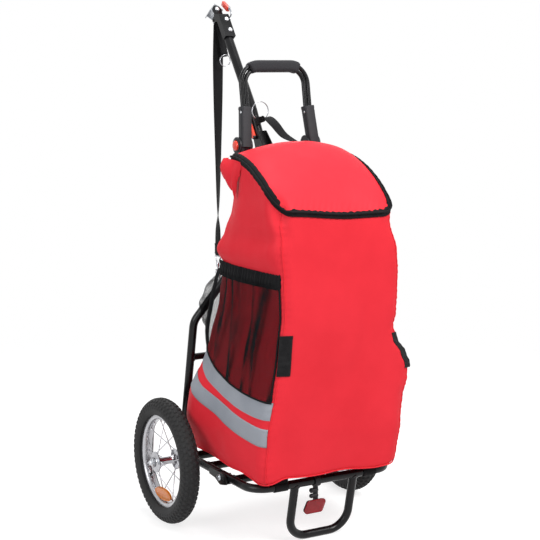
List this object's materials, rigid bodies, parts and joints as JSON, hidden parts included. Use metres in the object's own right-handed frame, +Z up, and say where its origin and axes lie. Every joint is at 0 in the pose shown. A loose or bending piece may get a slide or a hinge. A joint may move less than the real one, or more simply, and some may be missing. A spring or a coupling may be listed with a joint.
{
  "type": "bike cargo trailer",
  "caption": "Folding bicycle cargo trailer and shopping trolley: zipped bag on a bent-tube frame with spoked wheels, stand, handle and tow bar with hitch and safety strap.",
  "frame": {"origin": "middle of the whole trolley's footprint, on the ground", "axes": "+X across to the trolley's right, +Y back towards the handle and the tow bar, +Z up"},
  "size_m": [0.587, 0.5811, 1.2171],
  "materials": {
    "frame_paint": "gloss black powder coat",
    "tyre": "moulded black rubber with a fine tread",
    "rim_chrome": "bright plated steel",
    "spoke_chrome": "bright plated steel",
    "ring_chrome": "bright nickel plated",
    "zinc_steel": "zinc plated",
    "jaw_steel": "zinc plated sheet",
    "hinge_plastic": "moulded charcoal nylon",
    "grip_foam": "closed-cell foam",
    "red_plastic": "moulded red plastic",
    "amber_reflector": "prismatic amber reflector",
    "dark_red_reflector": "prismatic red reflector",
    "red_fabric": "coated polyester, plain weave",
    "mesh_fabric": "open black mesh",
    "webbing": "woven polyester webbing"
  },
  "bodies": {
    "frame": {"left_frame_tube": "frame_paint", "right_frame_tube": "frame_paint", "axle_tube": "frame_paint", "axle": "zinc_steel", "middle_crossbar": "frame_paint", "upper_crossbar": "frame_paint", "rear_deck_bar": "frame_paint", "left_axle_nut": "zinc_steel", "right_axle_nut": "zinc_steel", "left_platform_bracket": "frame_paint", "right_platform_bracket": "frame_paint", "left_pivot_bolt": "zinc_steel", "right_pivot_bolt": "zinc_steel", "left_hinge_base": "hinge_plastic", "right_hinge_base": "hinge_plastic", "tow_bracket": "frame_paint", "tow_pivot_bolt": "zinc_steel", "bag_upper": "red_fabric", "bag_lower": "red_fabric", "bag_hanger": "webbing", "hanger_ring": "ring_chrome", "left_mesh_pocket": "mesh_fabric", "right_mesh_pocket": "mesh_fabric"},
    "platform": {"platform_tube": "frame_paint", "platform_bar": "frame_paint", "stand": "frame_paint", "reflector_mount": "hinge_plastic", "reflector_lens": "dark_red_reflector", "left_bag_strap": "webbing", "right_bag_strap": "webbing"},
    "tow_bar": {"tow_bar_tube": "frame_paint", "hitch_bracket": "frame_paint", "lower_hitch_bolt": "zinc_steel", "upper_hitch_bolt": "zinc_steel", "jaw_bolt": "zinc_steel", "ring_tab": "webbing", "safety_ring": "ring_chrome"},
    "handle": {"inner_handle_rod": "frame_paint", "outer_handle_rod": "frame_paint", "handle_grip": "grip_foam", "left_handle_sleeve": "hinge_plastic", "right_handle_sleeve": "hinge_plastic"},
    "lid": {"bag_lid": "red_fabric"},
    "jaw": {"hitch_jaw": "jaw_steel"},
    "latch": {"hitch_latch": "jaw_steel"},
    "lever": {"lock_lever": "red_plastic"},
    "strap": {"safety_strap": "webbing"},
    "hook_swivel": {"hook_eye": "ring_chrome"},
    "hook": {"snap_hook": "ring_chrome"},
    "gate": {"hook_gate": "ring_chrome"},
    "left_wheel": {"left_tyre": "tyre", "left_rim": "rim_chrome", "left_hub_and_spokes": "spoke_chrome", "left_wheel_reflector": "amber_reflector"},
    "left_button": {"left_fold_button": "red_plastic"},
    "right_wheel": {"right_tyre": "tyre", "right_rim": "rim_chrome", "right_hub_and_spokes": "spoke_chrome", "right_wheel_reflector": "amber_reflector"},
    "right_button": {"right_fold_button": "red_plastic"}
  },
  "joints": [
    {"name": "left_wheel_spin", "type": "hinge", "parent": "frame", "child": "left_wheel", "pos_m": [-0.2515, 0.0474, 0.1475], "axis": [1, 0, 0], "continuous": true},
    {"name": "right_wheel_spin", "type": "hinge", "parent": "frame", "child": "right_wheel", "pos_m": [0.2515, 0.0474, 0.1475], "axis": [1, 0, 0], "continuous": true},
    {"name": "platform_fold", "type": "hinge", "parent": "frame", "child": "platform", "pos_m": [0, -0.1146, 0.141], "axis": [-1, 0, 0], "range_deg": [0, 90], "deforming": ["bag_lower"]},
    {"name": "tow_bar_fold", "type": "hinge", "parent": "frame", "child": "tow_bar", "pos_m": [0, 0.0199, 0.857], "axis": [-1, 0, 0], "range_deg": [0, 136], "deforming": ["safety_strap"]},
    {"name": "handle_fold", "type": "hinge", "parent": "frame", "child": "handle", "pos_m": [0, -0.03881, 0.884], "axis": [-1, 0, 0], "range_deg": [0, 127]},
    {"name": "left_button_press", "type": "slide", "parent": "frame", "child": "left_button", "axis": [1, 0, 0], "range_m": [0, 0.004], "stiffness_N_per_m": 600, "springref_m": -0.002},
    {"name": "right_button_press", "type": "slide", "parent": "frame", "child": "right_button", "axis": [-1, 0, 0], "range_m": [0, 0.004], "stiffness_N_per_m": 600, "springref_m": -0.002},
    {"name": "lock_lever_squeeze", "type": "hinge", "parent": "frame", "child": "lever", "pos_m": [-0.0186, 0.0365, 0.89805], "axis": [1, 0, 0], "range_deg": [0, 25], "stiffness_Nm_per_rad": 0.4, "springref_deg": -17.19},
    {"name": "lid_hinge", "type": "hinge", "parent": "frame", "child": "lid", "pos_m": [0, -0.0634, 0.8635], "axis": [-1, 0, 0], "range_deg": [0, 50]},
    {"name": "jaw_turn", "type": "hinge", "parent": "tow_bar", "child": "jaw", "pos_m": [0, 0.25297, 1.19823], "axis": [0, 0.8181, -0.575], "range_deg": [-60, 60]},
    {"name": "latch_press", "type": "hinge", "parent": "tow_bar", "child": "latch", "pos_m": [0.0174, 0.22286, 1.17539], "axis": [1, 0, 0], "range_deg": [0, 20], "stiffness_Nm_per_rad": 0.3, "springref_deg": -17.19},
    {"name": "strap_swing", "type": "hinge", "parent": "tow_bar", "child": "strap", "pos_m": [0, 0.24456, 1.17236], "axis": [-1, 0, 0], "range_deg": [-137, 10]},
    {"name": "strap_gather", "type": "slide", "parent": "strap", "child": "hook_swivel", "axis": [0, 0, 1], "range_m": [0, 0.43]},
    {"name": "hook_swivel_turn", "type": "hinge", "parent": "hook_swivel", "child": "hook", "pos_m": [-0.004, 0.24556, 0.566], "axis": [0, 0, 1], "continuous": true},
    {"name": "hook_gate_press", "type": "hinge", "parent": "hook", "child": "gate", "pos_m": [-0.004, 0.25056, 0.55426], "axis": [-1, 0, 0], "range_deg": [0, 22], "stiffness_Nm_per_rad": 0.02, "springref_deg": -17.19}
  ],
  "couplings": [
    {"joint": "handle_fold", "follows": "tow_bar_fold", "ratio": 0.93},
    {"joint": "strap_swing", "follows": "tow_bar_fold", "ratio": -1},
    {"joint": "strap_gather", "follows": "tow_bar_fold", "m_per_rad": 0.18}
  ]
}
